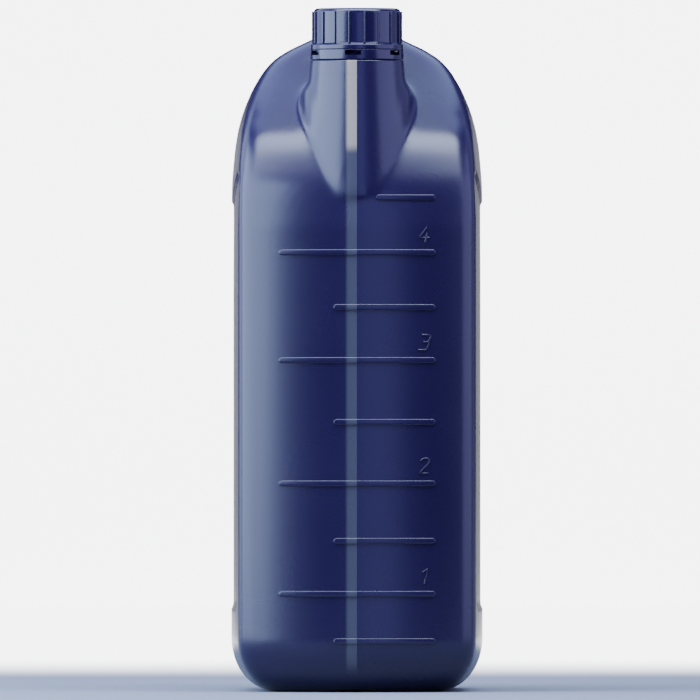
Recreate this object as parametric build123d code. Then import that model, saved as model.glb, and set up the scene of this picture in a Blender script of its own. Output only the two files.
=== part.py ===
"""Five-litre motor oil bottle: blow-moulded body with an integral handle, screw cap,
tamper-evident band and sealing wad. Units are millimetres.

Frame: origin at the centre of the base, +Z up, the spout and its graduated face towards -Y.
"""
from build123d import *
import math
import os

os.makedirs("parts", exist_ok=True)

# ---------------------------------------------------------------- driving dimensions
# body
body_width = 125.6  # across the two label panels
body_depth = 162.0  # from the graduated face to the back
crest_height = 330.2  # top of the dome behind the spout
wall = 1.2  # blown wall
base_round_height = 26.0  # height of the round between the base and the walls
base_round_side = 21.0  # how far that round runs in under the side walls
base_round_front = 22.0  # and under the front and back walls
shoulder_drop = 105.2  # where the front and the back start to lean in, below the crest
front_sagitta = 12.6  # bulge of the graduated face
back_sagitta_share = 0.7  # bulge of the back over that of the front
side_bulge = 4.5  # bulge of each label side
quarter_rise = 0.2525  # share of a bulge reached half way from its middle to its end
corner_radius = 10.0  # upright corners of the body
corner_inset_share = 0.3  # how much of the wall the dome's corners lose inside
least_half_width = 2.5  # of any level of the dome
rear_squareness = 2.5  # exponent of the back's curve over the handle, 2 is an ellipse
crest_back_offset = 8.0  # the back's curve is centred this far behind the middle
back_curve_over = 0.8  # the back's curve would close this far above the crest

# label panels
panel_depth = 1.0
panel_low = 42.0
panel_rise = 18.0  # top of the panel over the shoulder height
panel_front_rise = 19.0  # how much higher the panel reaches at its front end
panel_slope_run = 42.0  # length over which its top edge comes down from there
panel_margin = 21.0  # from the front and back of the body
panel_corner = 12.0

# base
pinch_groove_width = 19.0
pinch_groove_depth = 1.2

# spout and neck
neck_setback = 29.2  # neck axis behind the graduated face
spout_drop = 16.2  # top edge of the spout below the crest
spout_top_inset = 0.15  # the spout's top edge inside the tamper band's outer face
spout_taper_deg = 5.4
spout_length = 68.0  # from its foot, inside the body, to its top edge
hip_drop = 24.0  # widest part of the swelling behind the spout, below the spout's top edge
hip_radius = 28.0
spout_edge_round = 0.8
shelf_share = 1.5  # the shelf round the neck is this much thicker than the wall

# handle
grip_width = 38.0
handle_slot_width = 30.0
handle_slot_straight = 50.0
handle_tilt_deg = 68.0
handle_from_back = 47.45  # middle of the finger hole to the back of the body
handle_drop = 62.2  # and below the crest
handle_edge_round = 9.0
pocket_reach = 78.45  # how far forward of the back the pockets start
pocket_drop = 7.0  # foot of the pockets below the shoulder height
pocket_draft_deg = 15.0
pocket_corner = 25.0
pocket_floor_round = 10.0

# graduations
mark_height = 3.0
mark_proud = 0.9
digit_line = 0.8
digit_proud = 0.5
digit_height = 7.5
digit_width = 5.5
digit_slant = 0.2
digit_rise = 5.0  # foot of a numeral above its mark
digit_right_x = 37.0
face_clearance = 10.0  # the marks are cut from this far in front of the face
mark_right_x = 39.0
mark_long_x = -39.0
mark_medium_x = -11.7
mark_short_x = 9.5
mark_levels = [
    (25.5, mark_medium_x),
    (49.0, mark_long_x),
    (75.3, mark_medium_x),
    (103.8, mark_long_x),
    (134.3, mark_medium_x),
    (165.0, mark_long_x),
    (191.3, mark_medium_x),
    (218.5, mark_long_x),
    (245.7, mark_short_x),
]

# neck finish, cap, band and wad
neck_radius = 18.9
neck_wall = 1.8
neck_rim_round = 0.4
neck_rise = 22.9  # rim of the neck over the spout's top edge
thread_pitch = 4.0
thread_turns = 1.5
thread_rise = 9.6  # middle of the neck thread at its start, over the spout's top edge
thread_proud = 1.25
thread_root_width = 1.7
thread_crest_width = 0.8
thread_radial_gap = 0.3
thread_axial_gap = 0.25
thread_sink = 0.3  # how deep a thread's root is buried
bead_proud = 2.4
bead_slope = 1.3
bead_rise = 2.7
bead_height = 1.5

cap_roof = 1.8
cap_wall = 1.3
cap_top_round = 2.8
cap_rib_count = 18
cap_rib_proud = 0.78
cap_rib_width = 1.0
cap_rib_foot = 3.05  # lower end of the ribs over the cap's lower edge
cap_rib_drop = 1.7  # their upper end below the cap's top
flange_proud = 1.5  # flange outside the cap's skirt
flange_height = 2.3
flare_height = 1.6
flare_middle_out = 0.25  # middle of the flare's curve, as shares of its width and height
flare_middle_up = 0.35
flange_round = 0.5
cap_rib_top_round = 0.7

band_wall = 1.2
band_low_gap = 0.3  # above the top edge of the spout
band_height = 4.8
band_gap = 0.25  # between the band and the cap
window_count = 6
window_width = 8.0
window_height = 2.4
window_top_rail = 0.35
window_phase_deg = -95.0
lug_proud = 1.0
lug_height = 1.6
lug_rise = 0.4
band_edge_round = 0.5
bridge_width = 0.8
bridge_depth = 0.7
bridge_clearance = 0.05

wad_thickness = 1.2
wad_gap = 0.05  # under the wad and over it
wad_side_gap = 0.25

# ---------------------------------------------------------------- derived places
shoulder_height = crest_height - shoulder_drop
neck_bore_radius = neck_radius - neck_wall
bead_radius = neck_radius + bead_proud
cap_bore_radius = neck_radius + thread_proud + thread_radial_gap
cap_radius = cap_bore_radius + cap_wall
flange_radius = cap_radius + flange_proud
band_radius = flange_radius
spout_top_radius = band_radius - spout_top_inset
front_y = -(body_depth - mark_proud) / 2  # the raised marks count in the overall depth
back_y = front_y + body_depth
half_width = body_width / 2
neck_y = front_y + neck_setback
spout_top_height = crest_height - spout_drop
hip_height = spout_top_height - hip_drop
pocket_front_y = back_y - pocket_reach
pocket_low_z = shoulder_height - pocket_drop
neck_height = spout_top_height + neck_rise
thread_low_z = spout_top_height + thread_rise
bead_low_z = spout_top_height + bead_rise
dome_height = crest_height - shoulder_height
slot_centre = Vector(0, back_y - handle_from_back, crest_height - handle_drop)
slot_direction = Vector(
    0,
    -math.cos(math.radians(handle_tilt_deg)),
    math.sin(math.radians(handle_tilt_deg)),
)
band_low_z = spout_top_height + band_low_gap
band_high_z = band_low_z + band_height
cap_low_z = band_high_z + band_gap
cap_ceiling_z = neck_height + wad_thickness + 2 * wad_gap
cap_top_height = cap_ceiling_z + cap_roof
cap_rib_low_z = cap_low_z + cap_rib_foot
cap_rib_high_z = cap_top_height - cap_rib_drop

# The dome by stations, from the shoulder up: share of the dome's height, share of the
# half width, setback of the front, corner radius, front sagitta.
dome_stations = [
    (0.000, 1.000, 0.0, corner_radius, front_sagitta),
    (0.045, 1.000, 0.0, corner_radius, front_sagitta),
    (0.140, 1.000, 0.8, corner_radius, front_sagitta),
    (0.240, 0.999, 2.4, 11.0, 12.6),
    (0.350, 0.988, 6.4, 13.0, 12.6),
    (0.475, 0.966, 13.3, 15.0, 12.0),
    (0.590, 0.924, 25.0, 18.0, 11.0),
    (0.695, 0.860, 37.5, 18.0, 9.5),
    (0.780, 0.785, 48.0, 16.0, 8.0),
    (0.846, 0.698, 55.5, 13.0, 6.5),
    (0.894, 0.581, 60.0, 11.0, 5.5),
    (0.941, 0.414, 65.0, 8.0, 4.0),
    (0.983, 0.247, 71.0, 5.0, 2.2),
    (1.000, 0.100, 76.0, 2.2, 1.0),
]

# The hips by stations, from the foot up: height over the widest level, extra radius,
# how far the level's centre is behind the neck's axis.
hip_stations = [
    (-40.0, 2.0, 2.0),
    (-14.0, 0.9, 2.8),
    (0.0, 0.0, 4.0),
    (9.5, -1.0, 5.0),
    (13.0, -3.2, 5.0),
]

# The base round by shares of its height, and one level above it.
base_steps = [0.0, 0.03, 0.1, 0.24, 0.45, 0.7, 1.0, 1.25]


# ---------------------------------------------------------------- body skin
def plan_section(z, across, front, back, corner, sagitta):
    """One level of the body: bulged front, back and sides with rounded corners."""
    bulge = side_bulge * across / half_width
    corner_x = across - bulge
    back_sagitta = back_sagitta_share * sagitta
    middle_y = (front + back) / 2
    with BuildSketch(Plane.XY.offset(z)) as level:
        with BuildLine():
            front_right = ThreePointArc(
                (0, front),
                (corner_x / 2, front + quarter_rise * sagitta),
                (corner_x, front + sagitta),
            )
            right = ThreePointArc(front_right @ 1, (across, middle_y), (corner_x, back - back_sagitta))
            back_right = ThreePointArc(
                right @ 1,
                (corner_x / 2, back - quarter_rise * back_sagitta),
                (0, back),
            )
            mirror(about=Plane.YZ)
        make_face()
        corners = [v for v in level.vertices() if abs(v.X) > corner_x / 2]
        fillet(corners, corner)
    return level.sketch


def back_line(z):
    """Where the back of the body is at height z."""
    if z <= shoulder_height:
        return back_y
    reach = back_y - crest_back_offset
    rise = (z - shoulder_height) / (dome_height + back_curve_over)
    return crest_back_offset + reach * (1 - rise**rear_squareness) ** (1 / rear_squareness)


def body_form(inset):
    """The whole body without spout or handle, moved in by inset (out if negative)."""
    squeeze = (crest_height - 2 * inset) / crest_height
    base_levels = []
    for step in base_steps:
        run_in = 1 - math.sqrt(1 - max(1 - step, 0) ** 2)
        z = inset + step * base_round_height * squeeze
        base_levels.append(
            plan_section(
                z,
                half_width - inset - base_round_side * run_in,
                front_y + inset + base_round_front * run_in,
                back_y - inset - base_round_front * run_in,
                corner_radius,
                front_sagitta,
            )
        )
    dome_levels = []
    for height_share, width_share, setback, corner, sagitta in dome_stations:
        level = shoulder_height + height_share * dome_height
        dome_levels.append(
            plan_section(
                inset + level * squeeze,
                max(half_width * width_share - inset, least_half_width),
                front_y + inset + setback,
                back_line(level) - inset,
                corner - corner_inset_share * inset,
                sagitta,
            )
        )
    base = loft(base_levels)
    trunk = loft([base_levels[-1], dome_levels[0]], ruled=True)
    dome = loft(dome_levels)
    return base + trunk + dome


# ---------------------------------------------------------------- spout and handle
def spout_radius(z):
    return spout_top_radius + (spout_top_height - z) * math.tan(math.radians(spout_taper_deg))


def standing_cone(low_radius, high_radius, height):
    return Cone(low_radius, high_radius, height, align=(Align.CENTER, Align.CENTER, Align.MIN))


def standing_cylinder(radius, low, high):
    """Upright cylinder on the neck's axis between two heights."""
    cylinder = Cylinder(radius, high - low, align=(Align.CENTER, Align.CENTER, Align.MIN))
    return Pos(0, neck_y, low) * cylinder


def spout_form(inset):
    """Tapered spout, flush with the graduated face at its foot, and the hips behind it."""
    foot = spout_top_height - spout_length
    height = spout_length - shelf_share * inset
    cone = Pos(0, neck_y, foot) * standing_cone(
        spout_radius(foot) - inset,
        spout_radius(foot + height) - inset,
        height,
    )
    hip_levels = []
    for rise, extra, back in hip_stations:
        level = Plane.XY.offset(hip_height + rise)
        hip_levels.append(level * Pos(0, neck_y + back) * Circle(hip_radius + extra - inset))
    return cone + loft(hip_levels)


def handle_slot(inset):
    """The finger hole, through both sides; inset makes it larger, for the cavity."""
    plane = Plane(origin=slot_centre, x_dir=slot_direction, z_dir=(1, 0, 0))
    outline = SlotCenterToCenter(handle_slot_straight, handle_slot_width + 2 * inset)
    return extrude(plane * outline, body_width, both=True)


def handle_pockets(inset):
    """The hollows pinched in from both sides, which leave the grip between them."""
    low = pocket_low_z - inset
    front = pocket_front_y - inset
    height = 2 * (crest_height - low)
    depth = 2 * (back_y - front)
    floor_x = grip_width / 2 - inset
    plane = Plane(origin=(floor_x, front + depth / 2, low + height / 2), x_dir=(0, 1, 0), z_dir=(1, 0, 0))
    outline = RectangleRounded(depth, height, pocket_corner + inset)
    pocket = extrude(plane * outline, half_width, taper=-pocket_draft_deg)
    floor_edges = pocket.edges().filter_by_position(Axis.X, floor_x - 0.01, floor_x + 0.01)
    pocket = fillet(floor_edges, pocket_floor_round)
    return pocket + mirror(pocket, about=Plane.YZ)


def rounded_grip(form, inset):
    """Rounds the rims of the finger hole and the outer edges of the grip."""
    floor_x = grip_width / 2 - inset
    hole_rim = handle_slot_width / 2 + inset
    slot_axis = Edge.make_line(
        slot_centre - slot_direction * handle_slot_straight / 2,
        slot_centre + slot_direction * handle_slot_straight / 2,
    )
    rims = []
    for side in (-floor_x, floor_x):
        for edge in form.edges().filter_by_position(Axis.X, side - 0.01, side + 0.01):
            middle = edge @ 0.5
            from_axis = slot_axis.distance_to(Vector(0, middle.Y, middle.Z))
            on_hole = abs(from_axis - hole_rim) < 0.1
            on_outline = edge.geom_type == GeomType.BSPLINE and edge.length > 2
            if on_hole or on_outline:
                rims.append(edge)
    return fillet(rims, handle_edge_round - inset)


def skin_form(inset):
    """Body, spout and handle, moved in from the outer skin by inset."""
    whole = body_form(inset) + spout_form(inset)
    whole = whole - handle_pockets(inset) - handle_slot(inset)
    return rounded_grip(whole, inset) - label_panels(inset) - pinch_groove(inset)


# ---------------------------------------------------------------- details of the body
def label_panels(inset):
    """What the two sunken label panels take off the body's sides."""
    low_y = front_y + panel_margin - inset
    high_y = back_y - panel_margin + inset
    low_z = panel_low - inset
    high_z = shoulder_height + panel_rise + inset
    plane = Plane(origin=(0, 0, 0), x_dir=(0, 1, 0), z_dir=(1, 0, 0))
    with BuildSketch(plane) as outline:
        with BuildLine():
            Polyline(
                (low_y, low_z),
                (high_y, low_z),
                (high_y, high_z),
                (low_y + panel_slope_run, high_z),
                (low_y, high_z + panel_front_rise),
                close=True,
            )
        make_face()
        fillet(outline.vertices(), panel_corner)
    slab = extrude(outline.sketch, body_width, both=True)
    return slab - body_form(panel_depth + inset)


def digit_paths():
    """Slanted numerals as strokes in a box 1 wide and 1 high."""
    return {
        1: [[(0.25, 0.75), (0.62, 1.0), (0.62, 0.0)]],
        2: [[(0.1, 0.82), (0.35, 1.0), (0.8, 0.95), (0.85, 0.65), (0.1, 0.0), (0.95, 0.0)]],
        3: [[(0.1, 1.0), (0.9, 1.0), (0.5, 0.58), (0.9, 0.4), (0.8, 0.05), (0.4, 0.0), (0.05, 0.15)]],
        4: [[(0.6, 1.0), (0.05, 0.3), (1.0, 0.3)], [(0.7, 0.62), (0.7, 0.0)]],
    }


def digit_outline(number, right, low):
    """One numeral on the X-Z plane, its box's lower right corner at right, low."""
    strokes = Sketch()
    for path in digit_paths()[number]:
        points = []
        for across, up in path:
            slant = digit_slant * (up - 1) * digit_height
            points.append((right - digit_width * (1 - across) + slant, low + up * digit_height))
        for start, end in zip(points, points[1:]):
            angle = math.degrees(math.atan2(end[1] - start[1], end[0] - start[0]))
            middle = ((start[0] + end[0]) / 2, (start[1] + end[1]) / 2)
            stroke = SlotCenterToCenter(math.dist(start, end), digit_line)
            strokes += Pos(*middle) * Rot(0, 0, angle) * stroke
    return strokes


def graduations():
    """Raised volume marks and whole-litre numerals on the front."""
    face = Plane(origin=(0, front_y - face_clearance, 0), x_dir=(1, 0, 0), z_dir=(0, -1, 0))
    depth = -(neck_setback + front_sagitta)
    marks = Part()
    for level, left in mark_levels:
        length = mark_right_x - left
        bar = SlotOverall(length, mark_height)
        marks += extrude(face * Pos(left + length / 2, level) * bar, depth)
    marks = marks & (body_form(-mark_proud) - body_form(wall / 2))
    numerals = Part()
    litres = [level for level, left in mark_levels if left == mark_long_x]
    for number, level in enumerate(litres, 1):
        outline = digit_outline(number, digit_right_x, level + digit_rise)
        numerals += extrude(face * outline, depth)
    numerals = numerals & (body_form(-digit_proud) - body_form(wall / 2))
    return marks, numerals


def pinch_groove(inset):
    """The recessed strip along the middle of the base, where the parison was pinched off."""
    groove = Box(
        pinch_groove_width + 2 * inset,
        2 * body_depth,
        2 * (pinch_groove_depth + inset),
    )
    upper = groove.edges().filter_by(Axis.Y).group_by(Axis.Z)[-1]
    return fillet(upper, pinch_groove_depth / 2)


# ---------------------------------------------------------------- threads
def thread_ridge(root_radius, crest_radius, start_z):
    """A helical ridge from root to crest radius; crest may be inside or outside the root."""
    outward = 1 if crest_radius > root_radius else -1
    sink = thread_sink * outward
    path = Helix(thread_pitch, thread_pitch * thread_turns, root_radius)
    with BuildSketch(Plane.XZ) as profile:
        with BuildLine():
            Polyline(
                (root_radius - sink, -thread_root_width / 2),
                (crest_radius, -thread_crest_width / 2),
                (crest_radius, thread_crest_width / 2),
                (root_radius - sink, thread_root_width / 2),
                close=True,
            )
        make_face()
    ridge = sweep(profile.sketch, path=path, is_frenet=True)
    return Pos(0, neck_y, start_z) * ridge


# ---------------------------------------------------------------- bottle
def neck_finish():
    """Threaded neck above the spout, with the bead that holds the tamper band."""
    neck = standing_cylinder(neck_radius, spout_top_height - 2 * wall, neck_height)
    neck = fillet(neck.edges().group_by(Axis.Z)[-1], neck_rim_round)
    bead = standing_cone(bead_radius, bead_radius - bead_slope, bead_height)
    ridge = thread_ridge(neck_radius, neck_radius + thread_proud, thread_low_z)
    return neck + Pos(0, neck_y, bead_low_z) * bead + ridge


def make_bottle():
    skin = skin_form(0)
    rims = skin.edges().filter_by(GeomType.CIRCLE)
    rims = rims.filter_by_position(Axis.Z, spout_top_height - 0.01, spout_top_height + 0.01)
    skin = fillet(rims, spout_edge_round)
    marks, numerals = graduations()
    solid = skin + marks + numerals + neck_finish()
    bore_low = spout_top_height - 3 * shelf_share * wall
    bore = standing_cylinder(neck_bore_radius, bore_low, neck_height + 1)
    return solid - skin_form(wall) - bore


# ---------------------------------------------------------------- cap, band and wad
def cap_shell():
    """Outside of the cap: rounded top, straight skirt, concave flare, rolled flange."""
    flange_top = cap_low_z + flange_height
    skirt_foot = flange_top + flare_height
    flare_width = flange_radius - cap_radius
    edge = flange_round
    with BuildSketch(Plane.XZ) as profile:
        with BuildLine():
            top = Line((0, cap_top_height), (cap_radius - cap_top_round, cap_top_height))
            shoulder = RadiusArc(top @ 1, (cap_radius, cap_top_height - cap_top_round), cap_top_round)
            skirt = Line(shoulder @ 1, (cap_radius, skirt_foot))
            flare = ThreePointArc(
                skirt @ 1,
                (cap_radius + flare_middle_out * flare_width, flange_top + flare_middle_up * flare_height),
                (flange_radius - edge, flange_top),
            )
            roll = RadiusArc(flare @ 1, (flange_radius, flange_top - edge), edge)
            rim = Line(roll @ 1, (flange_radius, cap_low_z + edge))
            under = RadiusArc(rim @ 1, (flange_radius - edge, cap_low_z), edge)
            foot = Line(under @ 1, (0, cap_low_z))
            Line(foot @ 1, top @ 0)
        make_face()
    return Pos(0, neck_y, 0) * revolve(profile.sketch, Axis.Z)


def cap_ribs():
    """Narrow grip ribs round the skirt, their tops rounded off into the cap's top."""
    reach = cap_radius + cap_rib_proud
    sleeve = standing_cylinder(reach, cap_rib_low_z, cap_rib_high_z)
    sleeve = fillet(sleeve.edges().group_by(Axis.Z)[-1], cap_rib_top_round)
    ribs = Part()
    for number in range(cap_rib_count):
        turn = 360 * (number + 0.5) / cap_rib_count - 90
        fin = Box(
            2 * cap_rib_proud + cap_wall,
            cap_rib_width,
            cap_top_height - cap_low_z,
            align=(Align.MAX, Align.CENTER, Align.MIN),
        )
        ribs += Pos(0, neck_y, cap_low_z) * Rot(0, 0, turn) * Pos(reach + cap_rib_proud, 0, 0) * fin
    return ribs & sleeve


def make_cap():
    outside = cap_shell() + cap_ribs()
    hollow = standing_cylinder(cap_bore_radius, cap_low_z - 1, cap_ceiling_z)
    start = thread_low_z - (thread_root_width + thread_crest_width) / 2 - thread_axial_gap
    ridge = thread_ridge(cap_bore_radius, neck_radius + thread_radial_gap, start)
    return outside - hollow + ridge


def make_band():
    """Tamper band: windows, inward lugs under the neck's bead, and broken bridges on top."""
    inner = band_radius - band_wall
    ring = standing_cylinder(band_radius, band_low_z, band_high_z)
    ring = fillet(ring.edges().group_by(Axis.Z)[0], band_edge_round)
    ring -= standing_cylinder(inner, band_low_z - 1, band_high_z + 1)
    window_high = band_high_z - window_top_rail
    window = Box(
        2 * band_radius,
        window_width,
        window_height,
        align=(Align.MIN, Align.CENTER, Align.MAX),
    )
    lug_low = band_low_z + lug_rise
    lug = standing_cylinder(inner + band_wall / 2, lug_low, lug_low + lug_height)
    lug -= standing_cylinder(inner - lug_proud, lug_low - 1, lug_low + lug_height + 1)
    sector = Box(2 * band_radius, window_width, lug_height, align=(Align.MIN, Align.CENTER, Align.MIN))
    bridge_height = band_gap - bridge_clearance
    bridge = Box(
        bridge_depth,
        bridge_width,
        bridge_height,
        align=(Align.CENTER, Align.CENTER, Align.MIN),
    )
    for number in range(window_count):
        turn = window_phase_deg + 360 * number / window_count
        ring -= Pos(0, neck_y, window_high) * Rot(0, 0, turn) * window
        ring += lug & (Pos(0, neck_y, lug_low) * Rot(0, 0, turn) * sector)
        between = turn + 180 / window_count
        place = Pos(0, neck_y, band_high_z) * Rot(0, 0, between) * Pos(inner + band_wall / 2, 0, 0)
        ring += place * bridge
    return ring


def make_wad():
    low = neck_height + wad_gap
    return standing_cylinder(cap_bore_radius - wad_side_gap, low, low + wad_thickness)


NODES = {
    "bottle": make_bottle,
    "screw_cap": make_cap,
    "tamper_band": make_band,
    "sealing_wad": make_wad,
}

for name, make in NODES.items():
    shape = make()
    solids = shape.solids()
    print(f"{name}: {len(solids)} solid, {sum(s.volume for s in solids):.0f} mm3, valid {shape.is_valid}")
    export_step(Compound(children=[solids[0]]) if len(solids) == 1 else shape, f"parts/{name}.step")
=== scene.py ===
# %% [markdown]
# # A five-litre motor oil can
#
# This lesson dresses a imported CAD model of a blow-moulded oil can. The CAD model fixes every size
# and how the cap moves. Here its surfaces get the look of the real plastics, and the soft, blown
# shape of the body is built again as a fine, even mesh, because a tessellated CAD shell is too
# uneven to carry long, clean reflections.

# %% Load the frame
import math

import bmesh
import bpy
from mathutils import Matrix, Vector


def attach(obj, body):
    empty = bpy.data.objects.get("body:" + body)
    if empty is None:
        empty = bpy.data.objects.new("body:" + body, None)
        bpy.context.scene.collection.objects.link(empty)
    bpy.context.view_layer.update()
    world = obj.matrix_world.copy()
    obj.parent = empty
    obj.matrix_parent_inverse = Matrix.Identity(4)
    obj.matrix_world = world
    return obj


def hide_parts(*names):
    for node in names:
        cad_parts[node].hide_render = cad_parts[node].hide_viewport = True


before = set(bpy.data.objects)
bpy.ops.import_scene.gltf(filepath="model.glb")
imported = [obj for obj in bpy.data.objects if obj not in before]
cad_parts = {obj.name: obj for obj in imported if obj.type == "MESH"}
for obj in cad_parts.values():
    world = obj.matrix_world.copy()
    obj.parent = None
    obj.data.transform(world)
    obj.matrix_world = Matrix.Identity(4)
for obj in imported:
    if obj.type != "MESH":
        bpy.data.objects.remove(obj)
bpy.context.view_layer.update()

MM = 0.001

# %% [markdown]
# ## The shape of the body
#
# A blow-moulded can is a pile of level sections: each is a rectangle with bulged sides and round
# corners. Below the shoulder they are all alike. Above it they shrink towards the crest of the
# dome and move back, away from the spout. The sizes below are the CAD model's, in millimetres.

# %% Sizes of the body
HALF_WIDTH = 62.8
BODY_DEPTH = 162.0
MARK_PROUD = 0.9
FRONT_Y = -(BODY_DEPTH - MARK_PROUD) / 2
BACK_Y = FRONT_Y + BODY_DEPTH
CREST = 330.2
SHOULDER = 225.0
BASE_ROUND = 26.0
BASE_SIDE = 21.0
BASE_FRONT = 22.0
SIDE_BULGE = 4.5
CORNER = 10.0
SAGITTA = 12.6
BACK_BULGE_SHARE = 0.7  # the back bulges less than the front
CREST_BACK = 8.0
CREST_OVER = 0.8  # the back's curve tops out this far over the crest
BACK_POWER = 2.5
NECK_Y = FRONT_Y + 29.2

# height share, width share, setback of the front, corner radius, bulge of the front
DOME = [
    (0.000, 1.000, 0.0, 10.0, 12.6),
    (0.045, 1.000, 0.0, 10.0, 12.6),
    (0.140, 1.000, 0.8, 10.0, 12.6),
    (0.240, 0.999, 2.4, 11.0, 12.6),
    (0.350, 0.988, 6.4, 13.0, 12.6),
    (0.475, 0.966, 13.3, 15.0, 12.0),
    (0.590, 0.924, 25.0, 18.0, 11.0),
    (0.695, 0.860, 37.5, 18.0, 9.5),
    (0.780, 0.785, 48.0, 16.0, 8.0),
    (0.846, 0.698, 55.5, 13.0, 6.5),
    (0.894, 0.581, 60.0, 11.0, 5.5),
    (0.941, 0.414, 65.0, 8.0, 4.0),
    (0.983, 0.247, 71.0, 5.0, 2.2),
    (1.000, 0.100, 76.0, 2.2, 1.0),
]
print("dome stations:", len(DOME))

# %% A smooth reading between the stations


def smooth_between(rows, column, share):
    """Value of one column at a share of the dome's height, on a curve that never overshoots."""
    count = len(rows)
    i = max(k for k in range(count - 1) if rows[k][0] <= share)
    slopes = [
        (rows[k + 1][column] - rows[k][column]) / (rows[k + 1][0] - rows[k][0])
        for k in range(count - 1)
    ]

    def tangent(k):
        if k == 0 or k == count - 1:
            return slopes[0] if k == 0 else slopes[-1]
        before, after = slopes[k - 1], slopes[k]
        return 0.0 if before * after <= 0 else 2 * before * after / (before + after)

    span = rows[i + 1][0] - rows[i][0]
    t = (share - rows[i][0]) / span
    a, b = rows[i][column], rows[i + 1][column]
    rise = t * t * (3 - 2 * t)
    return (
        a + (b - a) * rise
        + tangent(i) * span * (t - 2 * t * t + t**3)
        + tangent(i + 1) * span * (t**3 - t * t)
    )


def back_line(z):
    """Where the back of the body is at a height."""
    if z <= SHOULDER:
        return BACK_Y
    rise = (z - SHOULDER) / (CREST - SHOULDER + CREST_OVER)
    return CREST_BACK + (BACK_Y - CREST_BACK) * (1 - rise**BACK_POWER) ** (1 / BACK_POWER)


def level_sizes(z):
    """(half width, front, back, corner radius, bulge) of the body at a height."""
    if z < BASE_ROUND:
        run_in = 1 - math.sqrt(1 - (1 - z / BASE_ROUND) ** 2)
        reach = BASE_FRONT * run_in
        return HALF_WIDTH - BASE_SIDE * run_in, FRONT_Y + reach, BACK_Y - reach, CORNER, SAGITTA
    if z <= SHOULDER:
        return HALF_WIDTH, FRONT_Y, BACK_Y, CORNER, SAGITTA
    share = min((z - SHOULDER) / (CREST - SHOULDER), 1.0)
    width, setback, corner, bulge = (smooth_between(DOME, c, share) for c in (1, 2, 3, 4))
    return HALF_WIDTH * width, FRONT_Y + setback, back_line(z), corner, bulge


print("half way up the dome:", [round(v, 1) for v in level_sizes(280)])

# %% The outline of one level


def tangent_arc(first, second, corner):
    """Centre of the corner arc that rounds two big circles, each (centre y or x, radius)."""
    (ax, ay, ar), (bx, by, br) = first, second
    ar, br = ar - corner, br - corner
    dx, dy = bx - ax, by - ay
    gap = math.hypot(dx, dy)
    along = (ar * ar - br * br + gap * gap) / (2 * gap)
    off = math.sqrt(max(ar * ar - along * along, 0.0))
    options = [
        (ax + along * dx / gap + s * off * dy / gap, ay + along * dy / gap - s * off * dx / gap)
        for s in (1, -1)
    ]
    return max(options, key=lambda p: p[0])


def arc_points(centre, radius, start, end, count):
    """count points from the start angle, up to but without the end angle."""
    return [
        (
            centre[0] + radius * math.cos(start + (end - start) * k / count),
            centre[1] + radius * math.sin(start + (end - start) * k / count),
        )
        for k in range(count)
    ]


def half_outline(z, counts=(30, 14, 60, 14, 30)):
    """Right half of a level, from the middle of the front round to the middle of the back."""
    across, front, back, corner, bulge = level_sizes(z)
    inner = across - SIDE_BULGE * across / HALF_WIDTH
    back_bulge = BACK_BULGE_SHARE * bulge
    front_radius = (inner**2 + bulge**2) / (2 * bulge)
    back_radius = (inner**2 + back_bulge**2) / (2 * back_bulge)
    low, high = front + bulge, back - back_bulge
    half_side = (high - low) / 2
    side_in = across - inner
    side_radius = (half_side**2 + side_in**2) / (2 * side_in)
    circles = {
        "front": (0.0, front + front_radius, front_radius),
        "side": (across - side_radius, (low + high) / 2, side_radius),
        "back": (0.0, back - back_radius, back_radius),
    }
    fc = tangent_arc(circles["front"], circles["side"], corner)
    bc = tangent_arc(circles["side"], circles["back"], corner)

    def angle(circle, point):
        return math.atan2(point[1] - circle[1], point[0] - circle[0])

    front_end = angle(circles["front"], fc)
    side_start = angle(circles["side"], fc)
    side_end = angle(circles["side"], bc)
    back_start = angle(circles["back"], bc)
    quarter = math.pi / 2
    f, s, b = circles["front"], circles["side"], circles["back"]
    points = arc_points(f[:2], f[2], -quarter, front_end, counts[0])
    points += arc_points(fc, corner, front_end, side_start, counts[1])
    points += arc_points(s[:2], s[2], side_start, side_end, counts[2])
    points += arc_points(bc, corner, side_end, back_start, counts[3])
    points += arc_points(b[:2], b[2], back_start, quarter, counts[4])
    return points + [(0.0, back)]


def outline(z):
    """The whole level as (x, y) points, once round."""
    right = half_outline(z)
    left = [(-x, y) for x, y in reversed(right[1:-1])]
    return right + left


print("points round a level:", len(outline(100.0)))

# %% [markdown]
# ## Small helpers
#
# Every piece is drawn in millimetres in a bmesh, because that is how a mould maker thinks, and is
# scaled to metres once, when it becomes an object.

# %% Mesh helpers


def ring(bm, points):
    """A closed loop of vertices through (x, y, z) points; returns its edges."""
    verts = bmesh.ops.create_circle(bm, segments=len(points), radius=1.0)["verts"]
    for vert, point in zip(verts, points):
        vert.co = point
    return list({edge for vert in verts for edge in vert.link_edges})


def loft_rings(bm, levels):
    """Skins closed loops in order and closes both ends."""
    loops = [ring(bm, points) for points in levels]
    for low, high in zip(loops, loops[1:]):
        bmesh.ops.bridge_loops(bm, edges=low + high)
    for end in (loops[0], loops[-1]):
        bmesh.ops.contextual_create(bm, geom=end)


def circle_points(radius, z, centre_y=NECK_Y, count=120):
    return [
        (
            radius * math.cos(2 * math.pi * k / count),
            centre_y + radius * math.sin(2 * math.pi * k / count),
            z,
        )
        for k in range(count)
    ]


def to_object(bm, name, scale=MM):
    """Turns a bmesh into a smooth-shaded object at the origin, and frees the bmesh."""
    bmesh.ops.scale(bm, vec=(scale,) * 3, verts=bm.verts)
    mesh = bpy.data.meshes.new(name)
    bm.to_mesh(mesh)
    bm.free()
    mesh.shade_smooth()
    obj = bpy.data.objects.new(name, mesh)
    bpy.context.scene.collection.objects.link(obj)
    return obj


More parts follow.
